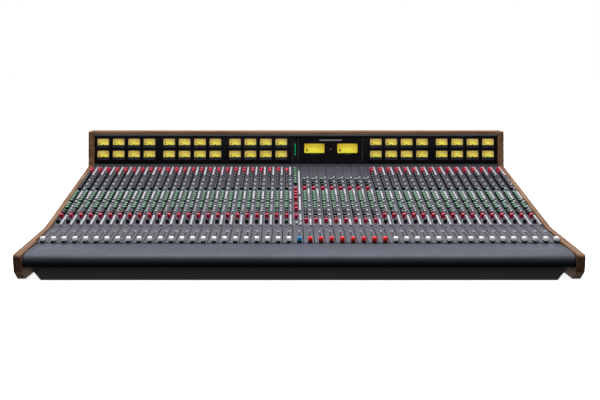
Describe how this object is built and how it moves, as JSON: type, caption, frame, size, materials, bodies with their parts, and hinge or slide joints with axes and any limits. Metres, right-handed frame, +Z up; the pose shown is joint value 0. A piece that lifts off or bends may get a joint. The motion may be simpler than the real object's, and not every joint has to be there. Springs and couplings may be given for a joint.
{
  "type": "mixing console",
  "caption": "Wide analogue mixing console with wooden end cheeks, rows of knobs, buttons and faders, a padded armrest and a meter bridge.",
  "frame": {"origin": "centre of the footprint on the surface the console stands on", "axes": "+X to the operator's right along the desk, +Y from the armrest to the meter bridge, +Z up"},
  "size_m": [1.7656, 1.025, 0.386],
  "materials": {
    "walnut": "satin oiled walnut, grain along the length",
    "trim_grey": "satin powder coat",
    "meter_black": "satin black paint",
    "panel_grey": "fine-texture blue-grey paint",
    "pad_vinyl": "padded dark grey leatherette",
    "case_black": "matte black paint",
    "steel": "zinc plated",
    "board_green": "green solder mask",
    "dial_yellow": "backlit warm yellow dial",
    "clear_glass": "clear",
    "needle_black": "black lacquer",
    "cap_white": "satin moulded",
    "cap_red": "satin moulded",
    "cap_blue": "satin moulded",
    "knob_red": "satin moulded",
    "knob_black": "satin moulded"
  },
  "bodies": {
    "console": {"cheek_left": "walnut", "cheek_right": "walnut", "bridge_cap": "walnut", "armrest": "pad_vinyl", "front_apron": "case_black", "base_pan": "case_black", "rear_panel": "case_black", "front_rail": "steel", "mid_rail": "steel", "rear_rail": "steel", "bus_board": "board_green", "bridge_rear_cover": "case_black", "fader_panel_left": "panel_grey", "fader_panel_centre": "panel_grey", "fader_panel_right": "panel_grey", "control_panel_left": "panel_grey", "control_panel_centre": "panel_grey", "control_panel_right": "panel_grey", "bridge_lip": "trim_grey", "bridge_trim": "trim_grey", "meter_panel_left": "meter_black", "meter_panel_right": "meter_black", "led_panel": "meter_black", "vu_panel": "meter_black", "vu_window_left": "clear_glass", "vu_dial_left": "dial_yellow", "vu_window_right": "clear_glass", "vu_dial_right": "dial_yellow"},
    "channel_fader_17": {"channel_fader_17": "cap_white"},
    "channel_fader_18": {"channel_fader_18": "cap_white"},
    "channel_fader_19": {"channel_fader_19": "cap_white"},
    "channel_fader_20": {"channel_fader_20": "cap_white"},
    "channel_fader_21": {"channel_fader_21": "cap_white"},
    "channel_fader_22": {"channel_fader_22": "cap_white"},
    "channel_fader_23": {"channel_fader_23": "cap_white"},
    "channel_fader_24": {"channel_fader_24": "cap_white"},
    "channel_fader_25": {"channel_fader_25": "cap_white"},
    "channel_fader_26": {"channel_fader_26": "cap_white"},
    "channel_fader_27": {"channel_fader_27": "cap_white"},
    "channel_fader_28": {"channel_fader_28": "cap_white"},
    "channel_fader_29": {"channel_fader_29": "cap_white"},
    "channel_fader_30": {"channel_fader_30": "cap_white"},
    "channel_fader_31": {"channel_fader_31": "cap_white"},
    "channel_fader_32": {"channel_fader_32": "cap_white"},
    "group_fader_1": {"group_fader_1": "cap_red"},
    "group_fader_2": {"group_fader_2": "cap_red"},
    "group_fader_3": {"group_fader_3": "cap_red"},
    "group_fader_4": {"group_fader_4": "cap_red"},
    "group_fader_5": {"group_fader_5": "cap_red"},
    "group_fader_6": {"group_fader_6": "cap_red"},
    "group_fader_7": {"group_fader_7": "cap_red"},
    "group_fader_8": {"group_fader_8": "cap_red"},
    "master_fader": {"master_fader": "cap_blue"},
    "channel_gain_knob": {"channel_gain_knob": "knob_red"},
    "channel_pan_knob": {"channel_pan_knob": "knob_black"},
    "monitor_level_knob": {"monitor_level_knob": "knob_red"},
    "channel_mute_button": {"channel_mute_button": "knob_black"},
    "talkback_button": {"talkback_button": "cap_white"},
    "vu_needle_left": {"vu_needle_left": "needle_black"},
    "vu_needle_right": {"vu_needle_right": "needle_black"}
  },
  "joints": [
    {"name": "channel_fader_17_slide", "type": "slide", "parent": "console", "child": "channel_fader_17", "axis": [0, 0.9958, 0.0915], "range_m": [0, 0.1]},
    {"name": "channel_fader_18_slide", "type": "slide", "parent": "console", "child": "channel_fader_18", "axis": [0, 0.9958, 0.0915], "range_m": [0, 0.1]},
    {"name": "channel_fader_19_slide", "type": "slide", "parent": "console", "child": "channel_fader_19", "axis": [0, 0.9958, 0.0915], "range_m": [0, 0.1]},
    {"name": "channel_fader_20_slide", "type": "slide", "parent": "console", "child": "channel_fader_20", "axis": [0, 0.9958, 0.0915], "range_m": [0, 0.1]},
    {"name": "channel_fader_21_slide", "type": "slide", "parent": "console", "child": "channel_fader_21", "axis": [0, 0.9958, 0.0915], "range_m": [0, 0.1]},
    {"name": "channel_fader_22_slide", "type": "slide", "parent": "console", "child": "channel_fader_22", "axis": [0, 0.9958, 0.0915], "range_m": [0, 0.1]},
    {"name": "channel_fader_23_slide", "type": "slide", "parent": "console", "child": "channel_fader_23", "axis": [0, 0.9958, 0.0915], "range_m": [0, 0.1]},
    {"name": "channel_fader_24_slide", "type": "slide", "parent": "console", "child": "channel_fader_24", "axis": [0, 0.9958, 0.0915], "range_m": [0, 0.1]},
    {"name": "channel_fader_25_slide", "type": "slide", "parent": "console", "child": "channel_fader_25", "axis": [0, 0.9958, 0.0915], "range_m": [0, 0.1]},
    {"name": "channel_fader_26_slide", "type": "slide", "parent": "console", "child": "channel_fader_26", "axis": [0, 0.9958, 0.0915], "range_m": [0, 0.1]},
    {"name": "channel_fader_27_slide", "type": "slide", "parent": "console", "child": "channel_fader_27", "axis": [0, 0.9958, 0.0915], "range_m": [0, 0.1]},
    {"name": "channel_fader_28_slide", "type": "slide", "parent": "console", "child": "channel_fader_28", "axis": [0, 0.9958, 0.0915], "range_m": [0, 0.1]},
    {"name": "channel_fader_29_slide", "type": "slide", "parent": "console", "child": "channel_fader_29", "axis": [0, 0.9958, 0.0915], "range_m": [0, 0.1]},
    {"name": "channel_fader_30_slide", "type": "slide", "parent": "console", "child": "channel_fader_30", "axis": [0, 0.9958, 0.0915], "range_m": [0, 0.1]},
    {"name": "channel_fader_31_slide", "type": "slide", "parent": "console", "child": "channel_fader_31", "axis": [0, 0.9958, 0.0915], "range_m": [0, 0.1]},
    {"name": "channel_fader_32_slide", "type": "slide", "parent": "console", "child": "channel_fader_32", "axis": [0, 0.9958, 0.0915], "range_m": [0, 0.1]},
    {"name": "group_fader_1_slide", "type": "slide", "parent": "console", "child": "group_fader_1", "axis": [0, 0.9958, 0.0915], "range_m": [0, 0.1]},
    {"name": "group_fader_2_slide", "type": "slide", "parent": "console", "child": "group_fader_2", "axis": [0, 0.9958, 0.0915], "range_m": [0, 0.1]},
    {"name": "group_fader_3_slide", "type": "slide", "parent": "console", "child": "group_fader_3", "axis": [0, 0.9958, 0.0915], "range_m": [0, 0.1]},
    {"name": "group_fader_4_slide", "type": "slide", "parent": "console", "child": "group_fader_4", "axis": [0, 0.9958, 0.0915], "range_m": [0, 0.1]},
    {"name": "group_fader_5_slide", "type": "slide", "parent": "console", "child": "group_fader_5", "axis": [0, 0.9958, 0.0915], "range_m": [0, 0.1]},
    {"name": "group_fader_6_slide", "type": "slide", "parent": "console", "child": "group_fader_6", "axis": [0, 0.9958, 0.0915], "range_m": [0, 0.1]},
    {"name": "group_fader_7_slide", "type": "slide", "parent": "console", "child": "group_fader_7", "axis": [0, 0.9958, 0.0915], "range_m": [0, 0.1]},
    {"name": "group_fader_8_slide", "type": "slide", "parent": "console", "child": "group_fader_8", "axis": [0, 0.9958, 0.0915], "range_m": [0, 0.1]},
    {"name": "master_fader_slide", "type": "slide", "parent": "console", "child": "master_fader", "axis": [0, 0.9958, 0.0915], "range_m": [0, 0.1]},
    {"name": "channel_gain_turn", "type": "hinge", "parent": "console", "child": "channel_gain_knob", "pos_m": [-0.03995, 0.35003, 0.22657], "axis": [0, 0.231, -0.973], "range_deg": [0, 300]},
    {"name": "channel_pan_turn", "type": "hinge", "parent": "console", "child": "channel_pan_knob", "pos_m": [-0.03995, -0.14326, 0.10947], "axis": [0, 0.231, -0.973], "range_deg": [-150, 150]},
    {"name": "monitor_level_turn", "type": "hinge", "parent": "console", "child": "monitor_level_knob", "pos_m": [-0.00465, -0.0051, 0.14227], "axis": [0, 0.231, -0.973], "range_deg": [0, 300]},
    {"name": "channel_mute_press", "type": "slide", "parent": "console", "child": "channel_mute_button", "axis": [0, 0.231, -0.973], "range_m": [0, 0.003], "stiffness_N_per_m": 200, "springref_m": -0.003},
    {"name": "talkback_press", "type": "slide", "parent": "console", "child": "talkback_button", "axis": [0, 0.231, -0.973], "range_m": [0, 0.003], "stiffness_N_per_m": 200, "springref_m": -0.003},
    {"name": "vu_left_swing", "type": "hinge", "parent": "console", "child": "vu_needle_left", "pos_m": [0.0778, 0.42535, 0.28619], "axis": [0, 0.9835, -0.1807], "range_deg": [0, 100], "stiffness_Nm_per_rad": 0.0002, "springref_deg": -17.19},
    {"name": "vu_right_swing", "type": "hinge", "parent": "console", "child": "vu_needle_right", "pos_m": [0.2183, 0.42535, 0.28619], "axis": [0, 0.9835, -0.1807], "range_deg": [0, 100], "stiffness_Nm_per_rad": 0.0002, "springref_deg": -17.19}
  ]
}
